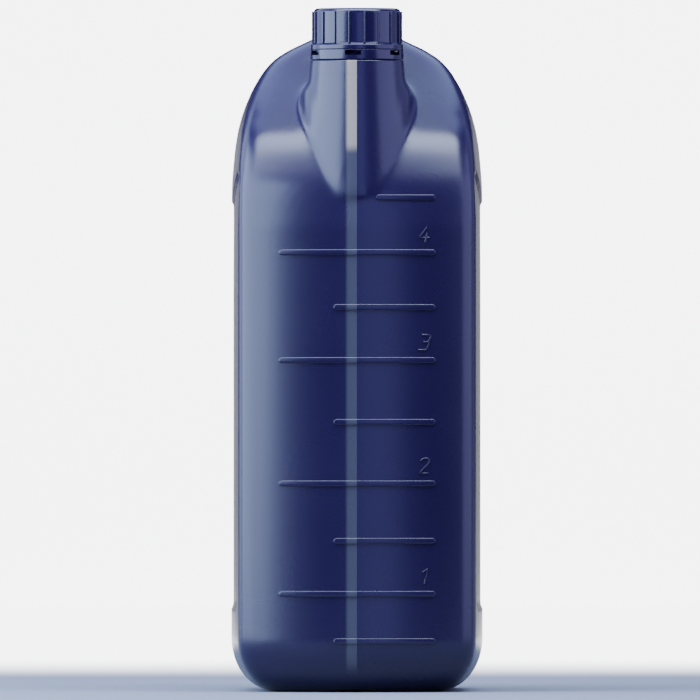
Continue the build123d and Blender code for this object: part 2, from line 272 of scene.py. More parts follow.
def bake_modifiers(obj):
    """Replaces an object's mesh with what its modifiers make of it."""
    graph = bpy.context.evaluated_depsgraph_get()
    mesh = bpy.data.meshes.new_from_object(obj.evaluated_get(graph), depsgraph=graph)
    obj.modifiers.clear()
    old, obj.data = obj.data, mesh
    bpy.data.meshes.remove(old)
    return obj


print("mesh helpers ready")

# %% [markdown]
# ## The blown body
#
# On the real can one hot tube of polyethylene is blown against the mould, so every corner comes
# out soft and body, spout and handle run into each other. The rough forms are lofted and spun as
# closed solids that overlap. A voxel remesh welds them into one even skin, and smoothing gives the
# soft, blown transitions. A single hand-made cage would need far more care where they meet.

# %% Rough forms: body, spout and hips
SPOUT_TOP = 314.0
SPOUT_RADIUS = 23.1
SPOUT_TAPER = math.tan(math.radians(5.4))
SPOUT_FOOT = 246.0
SPOUT_WIDEST = 29.12
SPOUT_SINK = 1.5  # the rough spout ends this far under the shelf of the neck
HIP_HEIGHT = 290.0
HIP_RADIUS = 28.0
DOME_START = 1.15  # over 1, so that the first levels over the shoulder are close together
# height over the widest level, extra radius, how far its centre is behind the neck
HIPS = [(-40.0, 2.0, 2.0), (-14.0, 0.9, 2.8), (0.0, 0.0, 4.0), (9.5, -1.0, 5.0), (13.0, -3.2, 5.0)]


def spout_radius(z):
    """The spout's taper stops where it would stand out of the body's front."""
    return min(SPOUT_RADIUS + (SPOUT_TOP - z) * SPOUT_TAPER, SPOUT_WIDEST)


def body_heights():
    """Levels close together where the form turns and far apart where it is straight."""
    turns, count = 18, 64
    base = [BASE_ROUND * (1 - math.cos(math.pi / 2 * k / turns)) for k in range(turns + 1)]
    trunk = [BASE_ROUND + (SHOULDER - BASE_ROUND) * k / 30 for k in range(1, 31)]
    rise = CREST - SHOULDER
    dome = [
        SHOULDER + rise * math.sin(math.pi / 2 * k / count) ** DOME_START
        for k in range(1, count + 1)
    ]
    return base + trunk + dome


def rough_body():
    bm = bmesh.new()
    loft_rings(bm, [[(x, y, z) for x, y in outline(z)] for z in body_heights()])
    top = SPOUT_TOP - SPOUT_SINK
    spout_levels = [SPOUT_FOOT + (top - SPOUT_FOOT) * k / 30 for k in range(31)]
    loft_rings(bm, [circle_points(spout_radius(z), z) for z in spout_levels])
    hips = []
    for k in range(41):
        rise = HIPS[0][0] + (HIPS[-1][0] - HIPS[0][0]) * k / 40
        extra, back = smooth_between(HIPS, 1, rise), smooth_between(HIPS, 2, rise)
        hips.append(circle_points(HIP_RADIUS + extra, HIP_HEIGHT + rise, NECK_Y + back))
    loft_rings(bm, hips)
    bmesh.ops.recalc_face_normals(bm, faces=bm.faces)
    return to_object(bm, "bottle_skin", 1.0)


skin = rough_body()
print("rough body faces:", len(skin.data.polygons))

# %% [markdown]
# ## Handle
#
# The mould pinches the hollow wall together from both sides and leaves a tube as the grip, with a
# slanted hole for the fingers. Two drafted blocks and one stadium-shaped block cut that away.

# %% Cutters for the handle
GRIP = 38.0
SLOT_WIDTH = 30.0
SLOT_STRAIGHT = 50.0
SLOT_TILT = 68.0
SLOT_CENTRE = Vector((0, 34.0, 268.0))
POCKET_FRONT = 3.0
POCKET_LOW = 218.0
POCKET_DRAFT = math.tan(math.radians(15.0))
POCKET_CORNER = 25.0
POCKET_FLOOR_ROUND = 9.0
FAR = 60.0  # how far a cutter stands out past the body
MOUTH_FOOT = 232.0
MOUTH_WALL = 3.5
MOUTH_WIDEST = 27.5


def block(low, high):
    """A bmesh box between two corners."""
    bm = bmesh.new()
    bmesh.ops.create_cube(bm, size=1.0)
    size = Vector(high) - Vector(low)
    bmesh.ops.scale(bm, vec=size, verts=bm.verts)
    bmesh.ops.translate(bm, vec=(Vector(low) + Vector(high)) / 2, verts=bm.verts)
    return bm


def pocket_cutter(side):
    reach = HALF_WIDTH + FAR - GRIP / 2
    bm = block(
        (GRIP / 2, POCKET_FRONT, POCKET_LOW),
        (GRIP / 2 + reach, BACK_Y + FAR, CREST + FAR),
    )
    for vert in bm.verts:
        if vert.co.x > GRIP:
            if vert.co.y < BACK_Y:
                vert.co.y -= reach * POCKET_DRAFT
            if vert.co.z < CREST:
                vert.co.z -= reach * POCKET_DRAFT
    corner = [
        e for e in bm.edges
        if all(v.co.y < BACK_Y and v.co.z < CREST for v in e.verts)
    ]
    bmesh.ops.bevel(
        bm, geom=corner, offset=POCKET_CORNER, segments=10, profile=0.5, affect="EDGES", material=-1
    )
    floor = [
        e for e in bm.edges
        if all(abs(v.co.x - GRIP / 2) < 0.01 for v in e.verts)
        and all(v.co.y < BACK_Y + FAR - 1 or v.co.z < CREST for v in e.verts)
    ]
    bmesh.ops.bevel(
        bm, geom=floor, offset=POCKET_FLOOR_ROUND, segments=8, profile=0.5, affect="EDGES",
        material=-1,
    )
    if side < 0:
        bmesh.ops.scale(bm, vec=(-1, 1, 1), verts=bm.verts)
    bmesh.ops.recalc_face_normals(bm, faces=bm.faces)
    return to_object(bm, "pocket_cutter", 1.0)


def slot_cutter():
    half = SLOT_STRAIGHT / 2 + SLOT_WIDTH / 2
    bm = block((-FAR, -SLOT_WIDTH / 2, -half), (FAR, SLOT_WIDTH / 2, half))
    along = [e for e in bm.edges if abs(e.verts[0].co.x - e.verts[1].co.x) > 1]
    bmesh.ops.bevel(
        bm, geom=along, offset=SLOT_WIDTH / 2 - 0.02, segments=12, profile=0.5, affect="EDGES",
        material=-1,
    )
    lean = Matrix.Rotation(math.radians(90.0 - SLOT_TILT), 3, "X")
    bmesh.ops.rotate(bm, matrix=lean, verts=bm.verts)
    bmesh.ops.translate(bm, vec=SLOT_CENTRE, verts=bm.verts)
    bmesh.ops.recalc_face_normals(bm, faces=bm.faces)
    return to_object(bm, "slot_cutter", 1.0)


def mouth_cutter():
    """Hollows the spout, so that one looks into the can when the cap is off."""
    bm = bmesh.new()
    heights = [MOUTH_FOOT + (SPOUT_TOP + 4 - MOUTH_FOOT) * k / 20 for k in range(21)]
    radii = [min(spout_radius(z), MOUTH_WIDEST) - MOUTH_WALL for z in heights]
    loft_rings(bm, [circle_points(radius, z) for radius, z in zip(radii, heights)])
    bmesh.ops.recalc_face_normals(bm, faces=bm.faces)
    return to_object(bm, "mouth_cutter", 1.0)


print("grip width and slot:", GRIP, SLOT_WIDTH)

# %% Weld, cut and weld again
VOXEL = 1.6


def voxel_weld(obj, size=VOXEL):
    weld = obj.modifiers.new("weld", "REMESH")
    weld.mode = "VOXEL"
    weld.voxel_size = size
    weld.use_smooth_shade = True
    return bake_modifiers(obj)


def cut_away(obj, cutter):
    cut = obj.modifiers.new("cut", "BOOLEAN")
    cut.operation = "DIFFERENCE"
    cut.object = cutter
    bake_modifiers(obj)
    bpy.data.objects.remove(cutter)


voxel_weld(skin)
for cutter in (pocket_cutter(1), pocket_cutter(-1), slot_cutter(), mouth_cutter()):
    cut_away(skin, cutter)
voxel_weld(skin)
print("welded skin faces:", len(skin.data.polygons))

# %% [markdown]
# ## Soft transitions
#
# Smoothing an even mesh rounds every inner corner a little, as blown plastic does. The handle gets
# more of it, because there the plastic is pinched and turns tightly. The same step would wash out
# the long straight reflections of the front, so those vertices are set back on their exact curve.

# %% Smooth the skin
SOFTEN_ALL = 6
SOFTEN_HANDLE = 44


def soften(obj, iterations, weight=None):
    """Smooths a mesh, all over or by a weight that is a function of each vertex's place."""
    smooth = obj.modifiers.new("soften", "SMOOTH")
    smooth.factor = 0.5
    smooth.iterations = iterations
    if weight:
        group = obj.vertex_groups.new(name="soften")
        for vert in obj.data.vertices:
            share = weight(vert.co)
            if share > 0:
                group.add([vert.index], share, "REPLACE")
        smooth.vertex_group = group.name
    bake_modifiers(obj)
    obj.vertex_groups.clear()


def step(low, high, value):
    """0 below low, 1 above high, and a soft rise between them. High may be the lower one."""
    t = min(max((value - low) / (high - low), 0.0), 1.0)
    return t * t * (3 - 2 * t)


def near_handle(place):
    return step(-2.0, 8.0, place.y) * step(210.0, 222.0, place.z)


soften(skin, SOFTEN_ALL)
soften(skin, SOFTEN_HANDLE, near_handle)
print("softened vertices:", len(skin.data.vertices))

# %% Curves that the skin is set back on
CREASE = 0.01  # slope of the faint ridge that the parting line leaves down the front
CREASE_REACH = 6.0
CREASE_FOOT = 14.0  # the ridge starts over the round of the base
FRONT_HALF = NECK_Y - 9.0  # what is in front of this is the front, or the spout's front half


def front_curve(x, z):
    """The body's front at a place, without the spout."""
    across, front, _, _, bulge = level_sizes(z)
    inner = across - SIDE_BULGE * across / HALF_WIDTH
    radius = (inner**2 + bulge**2) / (2 * bulge)
    return front + radius - math.sqrt(radius**2 - x * x)


def crease(x):
    return CREASE * max(CREASE_REACH - abs(x), 0.0)


def set_front(co):
    """Puts a vertex of the graduated face on its exact arc."""
    hold = step(50.0, 45.0, abs(co.x)) * step(238.0, 232.0, co.z) * step(22.0, 27.0, co.z)
    if hold <= 0 or co.y > FRONT_Y + SAGITTA + 4:
        return
    exact = front_curve(co.x, co.z)
    if abs(co.y - exact) < 2.0:
        co.y += (exact - co.y) * hold


def set_spout(co):
    """Puts a vertex of the spout's front half on its exact cone."""
    hold = step(258.0, 266.0, co.z) * step(17.0, 12.0, abs(co.x)) * step(NECK_Y, FRONT_HALF, co.y)
    if hold <= 0:
        return
    reach = math.hypot(co.x, co.y - NECK_Y)
    exact = spout_radius(co.z)
    if abs(reach - exact) < 1.5:
        grow = 1 + (exact / reach - 1) * hold
        co.x *= grow
        co.y = NECK_Y + (co.y - NECK_Y) * grow


print("front at the middle and at 40 mm:", front_curve(0, 100), round(front_curve(40, 100), 2))

# %% Label panels
PANEL_DEPTH = 1.0
PANEL_LOW = 42.0
PANEL_HIGH = 243.0
PANEL_FRONT_RISE = 19.0
PANEL_RUN = 42.0
PANEL_FRONT = FRONT_Y + 21.0
PANEL_BACK = BACK_Y - 21.0
PANEL_CORNER = 12.0
PANEL_EDGE = 2.4  # width of the slope round the panel
GROOVE_HALF = 9.5
GROOVE_DEPTH = 1.2


def inside_panel(y, z):
    """How far a place on the side is inside the panel's rounded outline."""
    rise = PANEL_FRONT_RISE * min(max((PANEL_FRONT + PANEL_RUN - y) / PANEL_RUN, 0.0), 1.0)
    a = min(y - PANEL_FRONT, PANEL_BACK - y)
    b = min(z - PANEL_LOW, PANEL_HIGH + rise - z)
    if a < PANEL_CORNER and b < PANEL_CORNER:
        return PANEL_CORNER - math.hypot(PANEL_CORNER - a, PANEL_CORNER - b)
    return min(a, b)


def sink_panel(co):
    if abs(co.x) > HALF_WIDTH - 8:
        share = step(-PANEL_EDGE / 2, PANEL_EDGE / 2, inside_panel(co.y, co.z))
        co.x -= math.copysign(PANEL_DEPTH * share, co.x)


def sink_groove(co):
    """The strip along the middle of the base, where the tube was pinched off."""
    if co.z < GROOVE_DEPTH:
        share = step(GROOVE_HALF + 0.8, GROOVE_HALF - 0.8, abs(co.x))
        co.z = max(co.z, GROOVE_DEPTH * share)


print("panel height:", PANEL_HIGH - PANEL_LOW)

# %% Two exact halves, shaped and scaled


def finish_skin(obj):
    bm = bmesh.new()
    bm.from_mesh(obj.data)
    everything = bm.verts[:] + bm.edges[:] + bm.faces[:]
    bmesh.ops.bisect_plane(
        bm, geom=everything, dist=0.05, plane_co=(0, 0, 0), plane_no=(1, 0, 0), clear_inner=True
    )
    for vert in bm.verts:
        if vert.co.x < 0.06:
            vert.co.x = 0.0
        set_front(vert.co)
        set_spout(vert.co)
        sink_panel(vert.co)
        sink_groove(vert.co)
        if vert.co.y < FRONT_HALF and vert.co.z > CREASE_FOOT:
            vert.co.y -= crease(vert.co.x)
    everything = bm.verts[:] + bm.edges[:] + bm.faces[:]
    bmesh.ops.mirror(bm, geom=everything, axis="X", merge_dist=0.01)
    for edge in bm.edges:
        middle = all(
            abs(v.co.x) < 0.001 and v.co.y < FRONT_HALF and v.co.z > CREASE_FOOT
            for v in edge.verts
        )
        edge.smooth = not middle
    bmesh.ops.recalc_face_normals(bm, faces=bm.faces)
    bmesh.ops.scale(bm, vec=(MM,) * 3, verts=bm.verts)
    for face in bm.faces:
        face.smooth = True
    bm.to_mesh(obj.data)
    bm.free()
    obj.data.update()


finish_skin(skin)
print("finished skin vertices:", len(skin.data.vertices))

# %% [markdown]
# ## Volume marks
#
# The bars stand less than a millimetre out of the wall, and follow its bulge. Each is a row of
# cross-sections along the arc, which shrink to nothing at both round ends.

# %% Bars
MARK_HEIGHT = 3.0
MARK_RIGHT = 39.0
LONG, MEDIUM, SHORT = -39.0, -11.7, 9.5
MARKS = [
    (25.5, MEDIUM), (49.0, LONG), (75.3, MEDIUM), (103.8, LONG), (134.3, MEDIUM),
    (165.0, LONG), (191.3, MEDIUM), (218.5, LONG), (245.7, SHORT),
]
MARK_SUNK = 0.8
BAR_PROUD = 0.85


def wall_front(x, z):
    """The outermost of the body's front and the spout, with the parting ridge."""
    reach = spout_radius(z)
    body = front_curve(x, z)
    if z > SPOUT_FOOT - 8 and abs(x) < reach:
        body = min(body, NECK_Y - math.sqrt(reach**2 - x * x))
    return body - crease(x)


def bar(bm, left, level):
    half = MARK_HEIGHT / 2
    turns = [half * (1 - math.cos(math.pi / 2 * k / 6)) for k in range(1, 6)]
    stations = [left + 0.04] + [left + t for t in turns]
    inner_left, inner_right = left + half, MARK_RIGHT - half
    count = max(int((inner_right - inner_left) / 1.5), 4)
    stations += [inner_left + (inner_right - inner_left) * k / count for k in range(count + 1)]
    stations += [MARK_RIGHT - t for t in reversed(turns)] + [MARK_RIGHT - 0.04]
    stations = sorted(set(x for x in stations if abs(x) > 0.2) | ({0.0} if left < 0 else set()))
    levels = []
    for x in stations:
        end = min(x - left, MARK_RIGHT - x, half)
        tall = math.sqrt(half**2 - (half - end) ** 2)
        proud = (BAR_PROUD - crease(x)) * min(tall / (0.6 * half), 1.0) ** 0.5
        surface = wall_front(x, level)
        section = []
        for k in range(20):
            turn = 2 * math.pi * k / 20
            up, out = math.cos(turn), math.sin(turn)
            up = math.copysign(abs(up) ** 0.55, up)
            depth = proud * abs(out) ** 0.5 if out > 0 else -MARK_SUNK * abs(out)
            section.append((x, surface - depth, level + tall * up))
        levels.append(section)
    loft_rings(bm, levels)


bm = bmesh.new()
for level, left in MARKS:
    bar(bm, left, level)
bmesh.ops.recalc_face_normals(bm, faces=bm.faces)
for edge in bm.edges:
    edge.smooth = not all(abs(v.co.x) < 0.001 for v in edge.verts)
marks = to_object(bm, "volume_marks")
print("bars:", len(MARKS))

# %% Numerals
DIGIT_HEIGHT = 7.5
DIGIT_WIDTH = 5.5
DIGIT_RIGHT = 37.0
DIGIT_RISE = 5.0
DIGIT_SLANT = 0.2
DIGIT_LINE = 0.5  # half the width of a stroke
LITRES = [level for level, left in MARKS if left == LONG]
# strokes in a box 1 wide and 1 high
STROKES = {
    1: [[(0.25, 0.75), (0.62, 1.0), (0.62, 0.0)]],
    2: [[
        (0.08, 0.8), (0.2, 0.94), (0.42, 1.0), (0.68, 0.98), (0.84, 0.88), (0.86, 0.74),
        (0.76, 0.58), (0.1, 0.0), (0.95, 0.0),
    ]],
    3: [
        [(0.12, 1.0), (0.84, 1.0), (0.94, 0.9), (0.9, 0.62), (0.76, 0.53), (0.4, 0.53)],
        [(0.76, 0.53), (0.9, 0.43), (0.86, 0.1), (0.72, 0.0), (0.05, 0.0)],
    ],
    4: [[(0.6, 1.0), (0.05, 0.3), (1.0, 0.3)], [(0.7, 0.62), (0.7, 0.0)]],
}


def numeral(number, right, low):
    """A slanted numeral as round raised strokes, half sunk in the front and bent to it."""
    curve = bpy.data.curves.new("numeral", "CURVE")
    curve.dimensions = "3D"
    curve.bevel_depth = DIGIT_LINE
    curve.bevel_resolution = 3
    curve.use_fill_caps = True
    for path in STROKES[number]:
        line = curve.splines.new("POLY")
        line.points.add(len(path) - 1)
        for point, (across, up) in zip(line.points, path):
            x = right - DIGIT_WIDTH * (1 - across) + DIGIT_SLANT * (up - 1) * DIGIT_HEIGHT
            point.co = (x, 0.0, low + up * DIGIT_HEIGHT, 1.0)
    holder = bpy.data.objects.new("numeral", curve)
    bpy.context.scene.collection.objects.link(holder)
    graph = bpy.context.evaluated_depsgraph_get()
    mesh = bpy.data.meshes.new_from_object(holder.evaluated_get(graph), depsgraph=graph)
    bpy.data.objects.remove(holder)
    bm = bmesh.new()
    bm.from_mesh(mesh)
    bpy.data.meshes.remove(mesh)
    for vert in bm.verts:
        vert.co.y += wall_front(vert.co.x, vert.co.z)
    bmesh.ops.recalc_face_normals(bm, faces=bm.faces)
    return to_object(bm, "litre_" + str(number))


numerals = [numeral(n, DIGIT_RIGHT, z + DIGIT_RISE) for n, z in enumerate(LITRES, 1)]
print("numerals:", [n.name for n in numerals])

# %% [markdown]
# ## Turned pieces
#
# Neck, cap and wad are round. Each is a closed profile of (radius, height, corner round) points,
# swept round the neck's axis. A small round on each corner catches the light as a moulded edge
# does.

# %% Lathe


def rounded_profile(corners, steps=5):
    """Replaces each corner of a closed profile with an arc of its own radius."""
    points = []
    count = len(corners)
    for i, (r, z, round_by) in enumerate(corners):
        here = Vector((r, z))
        before = Vector(corners[i - 1][:2]) - here
        after = Vector(corners[(i + 1) % count][:2]) - here
        if round_by <= 0:
            points.append((r, z))
            continue
        half = before.angle(after) / 2
        cut = min(round_by / math.tan(half), before.length * 0.49, after.length * 0.49)
        a, b = here + before.normalized() * cut, here + after.normalized() * cut
        for k in range(steps + 1):
            t = k / steps
            p = a * (1 - t) ** 2 + here * 2 * t * (1 - t) + b * t * t
            points.append((p.x, p.y))
    return points


def lathe(bm, corners, count=144):
    loops = [ring(bm, circle_points(r, z, count=count)) for r, z in rounded_profile(corners)]
    for low, high in zip(loops, loops[1:] + loops[:1]):
        bmesh.ops.bridge_loops(bm, edges=low + high)
    bmesh.ops.recalc_face_normals(bm, faces=bm.faces)


print("a square corner becomes", len(rounded_profile([(1, 0, 0.1), (2, 0, 0), (2, 1, 0)])), "points")

# %% Neck
NECK_RADIUS = 18.9
NECK_BORE = 17.1
NECK_TOP = 336.9
BEAD_LOW = 316.7
BEAD_HIGH = 318.2
BEAD_RADIUS = 21.3
BEAD_TOP_RADIUS = 20.0
COLLAR_LOW = 306.0
COLLAR_PROUD = 0.03
THREAD_PITCH = 4.0
THREAD_TURNS = 1.5
THREAD_START = 323.6
THREAD_PROUD = 1.25

# the collar covers the seam with the skin, with levels close together near both its ends
collar = [COLLAR_LOW + 1, COLLAR_LOW + 1.4, COLLAR_LOW + 2.2, SPOUT_TOP - 1.8, SPOUT_TOP - 1.2]
neck_profile = [
    (NECK_BORE, COLLAR_LOW - 3, 0.0),
    (spout_radius(COLLAR_LOW) - 0.5, COLLAR_LOW - 0.5, 0.0),
    *[(spout_radius(z) + COLLAR_PROUD, z, 0.0) for z in collar],
    (SPOUT_RADIUS + COLLAR_PROUD, SPOUT_TOP, 0.8),
    (NECK_RADIUS, SPOUT_TOP, 0.3),
    (NECK_RADIUS, BEAD_LOW, 0.2),
    (BEAD_RADIUS, BEAD_LOW, 0.2),
    (BEAD_TOP_RADIUS, BEAD_HIGH, 0.3),
    (NECK_RADIUS, BEAD_HIGH, 0.2),
    (NECK_RADIUS, NECK_TOP, 0.4),
    (NECK_BORE, NECK_TOP, 0.3),
]


def add_thread(bm, root, crest, start, half_root=0.85, half_crest=0.4):
    """A helical ridge, spun from a trapezium."""
    sink = 0.3 if crest > root else -0.3
    edges = ring(bm, [
        (root - sink, NECK_Y, start - half_root),
        (crest, NECK_Y, start - half_crest),
        (crest, NECK_Y, start + half_crest),
        (root - sink, NECK_Y, start + half_root),
    ])
    steps = 120
    verts = list({v for e in edges for v in e.verts})
    spun = bmesh.ops.spin(
        bm, geom=verts + edges, cent=(0, NECK_Y, 0), axis=(0, 0, 1),
        dvec=(0, 0, THREAD_PITCH * THREAD_TURNS / steps), angle=2 * math.pi * THREAD_TURNS,
        steps=steps, use_merge=False, use_duplicate=False,
    )
    last = [g for g in spun["geom_last"] if isinstance(g, bmesh.types.BMEdge)]
    for end in (edges, last):
        bmesh.ops.contextual_create(bm, geom=end)


bm = bmesh.new()
lathe(bm, neck_profile)
for vert in bm.verts:
    if vert.co.y < NECK_Y - NECK_RADIUS - 0.1 and vert.co.z < SPOUT_TOP + 0.1:
        vert.co.y -= crease(vert.co.x)
add_thread(bm, NECK_RADIUS, NECK_RADIUS + THREAD_PROUD, THREAD_START)
bmesh.ops.recalc_face_normals(bm, faces=bm.faces)
neck = to_object(bm, "neck_finish")
neck.data.set_sharp_from_angle(angle=math.radians(40))
for edge in neck.data.edges:
    a, b = (neck.data.vertices[i].co / MM for i in edge.vertices)
    middle = max(abs(a.x), abs(b.x)) < 0.001
    if middle and max(a.y, b.y) < NECK_Y - NECK_RADIUS - 0.1 and max(a.z, b.z) < SPOUT_TOP:
        edge.use_edge_sharp = True
print("neck faces:", len(neck.data.polygons))

# %% Cap
CAP_LOW = 319.35
CAP_TOP = 340.0
CAP_CEILING = 338.2
CAP_RADIUS = 21.75
CAP_BORE = 20.45
FLANGE = 23.25
FLANGE_TOP = 321.65
RIB_SINK = 0.9
RIBS = 18
RIB_PROUD = 0.78
RIB_LOW = 322.4
RIB_HIGH = 338.3

cap_profile = [
    (0.02, CAP_CEILING, 0.0),
    (CAP_BORE, CAP_CEILING, 0.4),
    (CAP_BORE, CAP_LOW, 0.2),
    (FLANGE, CAP_LOW, 0.5),
    (FLANGE, FLANGE_TOP, 0.5),
    (22.1, 322.2, 0.8),
    (CAP_RADIUS, 323.25, 0.8),
    (CAP_RADIUS, CAP_TOP, 2.8),
    (0.02, CAP_TOP, 0.0),
]


def add_rib(bm, number):
    rib = bmesh.ops.create_cube(bm, size=1.0)["verts"]
    inner, outer = CAP_RADIUS - RIB_SINK, CAP_RADIUS + RIB_PROUD
    bmesh.ops.scale(bm, vec=(outer - inner, 1.0, RIB_HIGH - RIB_LOW), verts=rib)
    bmesh.ops.translate(bm, vec=((outer + inner) / 2, 0, (RIB_HIGH + RIB_LOW) / 2), verts=rib)
    edges = {e for v in rib for e in v.link_edges if all(w.co.x > inner + 0.1 for w in e.verts)}
    edges |= {e for v in rib for e in v.link_edges if abs(e.verts[0].co.x - e.verts[1].co.x) > 0.5}
    made = bmesh.ops.bevel(
        bm, geom=list(edges), offset=0.36, segments=4, profile=0.5, affect="EDGES", material=-1
    )
    verts = {v for f in made["faces"] for v in f.verts} | {v for v in rib if v.is_valid}
    turn = math.radians(360 * (number + 0.5) / RIBS - 90)
    verts = list(verts)
    bmesh.ops.rotate(bm, matrix=Matrix.Rotation(turn, 3, "Z"), verts=verts)
    bmesh.ops.translate(bm, vec=(0, NECK_Y, 0), verts=verts)


bm = bmesh.new()
for number in range(RIBS):
    add_rib(bm, number)
lathe(bm, cap_profile)
add_thread(bm, CAP_BORE, NECK_RADIUS + 0.3, THREAD_START - 1.5)
bmesh.ops.recalc_face_normals(bm, faces=bm.faces)
cap = to_object(bm, "cap")
cap.data.set_sharp_from_angle(angle=math.radians(40))
print("cap faces:", len(cap.data.polygons))

# %% Wad
WAD_RADIUS = 20.2
WAD_LOW = 336.95
WAD_HIGH = 338.15
bm = bmesh.new()
lathe(bm, [
    (0.02, WAD_LOW, 0.0), (WAD_RADIUS, WAD_LOW, 0.15),
    (WAD_RADIUS, WAD_HIGH, 0.15), (0.02, WAD_HIGH, 0.0),
])
wad = to_object(bm, "wad")
print("wad faces:", len(wad.data.polygons))

# %% Tamper band
BAND_RADIUS = 23.25
BAND_INNER = 22.05
BAND_LOW = 314.3
BAND_HIGH = 319.3
WINDOWS = 6
WINDOW_WIDTH = 8.0
WINDOW_HEIGHT = 2.4
WINDOW_TOP = 318.95
WINDOW_TURN = -95.0
LUG_LOW = 314.7
LUG_HIGH = 316.3
LUG_PROUD = 1.0
BRIDGE = (0.7, 0.8, 0.2)


def placed_box(bm, low, high, turn):
    """A box given as if on the X axis, turned round the neck."""
    verts = bmesh.ops.create_cube(bm, size=1.0)["verts"]
    size = Vector(high) - Vector(low)
    bmesh.ops.scale(bm, vec=size, verts=verts)
    bmesh.ops.translate(bm, vec=(Vector(low) + Vector(high)) / 2, verts=verts)
    bmesh.ops.rotate(bm, matrix=Matrix.Rotation(math.radians(turn), 3, "Z"), verts=verts)
    bmesh.ops.translate(bm, vec=(0, NECK_Y, 0), verts=verts)


def add_lug(bm, turn):
    """A short inward step behind a window, spun from a rectangle."""
    inner, outer = BAND_INNER - LUG_PROUD, BAND_INNER + 0.4
    half = math.degrees(WINDOW_WIDTH / 2 / BAND_INNER)
    start = math.radians(turn - half)
    edges = ring(bm, [
        (r * math.cos(start), NECK_Y + r * math.sin(start), z)
        for r, z in ((inner, LUG_LOW), (outer, LUG_LOW), (outer, LUG_HIGH), (inner, LUG_HIGH))
    ])
    verts = list({v for e in edges for v in e.verts})
    spun = bmesh.ops.spin(
        bm, geom=verts + edges, cent=(0, NECK_Y, 0), axis=(0, 0, 1), dvec=(0, 0, 0),
        angle=math.radians(2 * half), steps=10, use_merge=False, use_duplicate=False,
    )
    last = [g for g in spun["geom_last"] if isinstance(g, bmesh.types.BMEdge)]
    for end in (edges, last):
        bmesh.ops.contextual_create(bm, geom=end)


turns = [WINDOW_TURN + 360 * n / WINDOWS for n in range(WINDOWS)]
bm = bmesh.new()
lathe(bm, [
    (BAND_INNER, BAND_LOW, 0.1), (BAND_RADIUS, BAND_LOW, 0.5),
    (BAND_RADIUS, BAND_HIGH, 0.15), (BAND_INNER, BAND_HIGH, 0.1),
], count=240)
band = to_object(bm, "tamper_ring", 1.0)
bm = bmesh.new()
for turn in turns:
    half = WINDOW_WIDTH / 2
    placed_box(bm, (15, -half, WINDOW_TOP - WINDOW_HEIGHT), (30, half, WINDOW_TOP), turn)
bmesh.ops.recalc_face_normals(bm, faces=bm.faces)
cut_away(band, to_object(bm, "window_cutter", 1.0))
bm = bmesh.new()
bm.from_mesh(band.data)
for turn in turns:
    add_lug(bm, turn)
    deep, wide, tall = BRIDGE
    middle = (BAND_INNER + BAND_RADIUS) / 2
    low = (middle - deep / 2, -wide / 2, BAND_HIGH - 0.1)
    placed_box(bm, low, (middle + deep / 2, wide / 2, BAND_HIGH + tall), turn + 180 / WINDOWS)
bmesh.ops.recalc_face_normals(bm, faces=bm.faces)
bpy.data.objects.remove(band)
band = to_object(bm, "tamper_band_ring")
band.data.set_sharp_from_angle(angle=math.radians(35))
print("band faces:", len(band.data.polygons))

# %% [markdown]
# ## Where each piece belongs
#
# A piece that rides on a body moves with it, so the cap turns and lifts in every pose.

# %% Ride and replace
for piece in (skin, marks, neck, band, *numerals):
    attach(piece, "bottle")
for piece in (skin, marks, neck, *numerals):
    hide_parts("bottle")
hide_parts("tamper_band")
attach(cap, "cap")
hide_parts("screw_cap")
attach(wad, "wad_carrier")
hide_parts("sealing_wad")
print("pieces placed")

# %% [markdown]
# ## Plastics
#
# The can is high-density polyethylene. It has a satin skin, because the mould is sand-blasted to
# let air escape, and that grain prints as a bump less than a millimetre across. The cap is
# injection-moulded polypropylene from polished steel, so it is glossier.

# %% Material helpers


def linear(code):
    """An sRGB hex code as linear RGBA."""
    values = [int(code[i:i + 2], 16) / 255 for i in (1, 3, 5)]
    return [v / 12.92 if v <= 0.04045 else ((v + 0.055) / 1.055) ** 2.4 for v in values] + [1.0]


def add_node(tree, kind, settings=(), inputs=(), links=()):
    """A node with its settings, its constant inputs and its links from other nodes."""
    node = tree.nodes.new(kind)
    for key, value in dict(settings).items():
        setattr(node, key, value)
    for key, value in dict(inputs).items():
        node.inputs[key].default_value = value
    for key, (source, socket) in dict(links).items():
        tree.links.new(source.outputs[socket], node.inputs[key])
    return node


def ramp(tree, source, socket, low, high):
    """A soft rise from 0 to 1 between two values of another node's output."""
    return add_node(
        tree, "ShaderNodeMapRange", {"interpolation_type": "SMOOTHSTEP"},
        inputs={"From Min": low, "From Max": high}, links={"Value": (source, socket)},
    )


def times(tree, first, second):
    return add_node(
        tree, "ShaderNodeMath", {"operation": "MULTIPLY"},
        links={0: (first, 0), 1: (second, 0)},
    )


def mix_colours(tree, factor, first, second):
    """Factor and colours are (node, socket) pairs, or a colour as a hex code."""
    node = add_node(tree, "ShaderNodeMix", {"data_type": "RGBA"}, links={0: factor})
    for index, colour in ((6, first), (7, second)):
        if isinstance(colour, str):
            node.inputs[index].default_value = linear(colour)
        else:
            tree.links.new(colour[0].outputs[colour[1]], node.inputs[index])
    return node


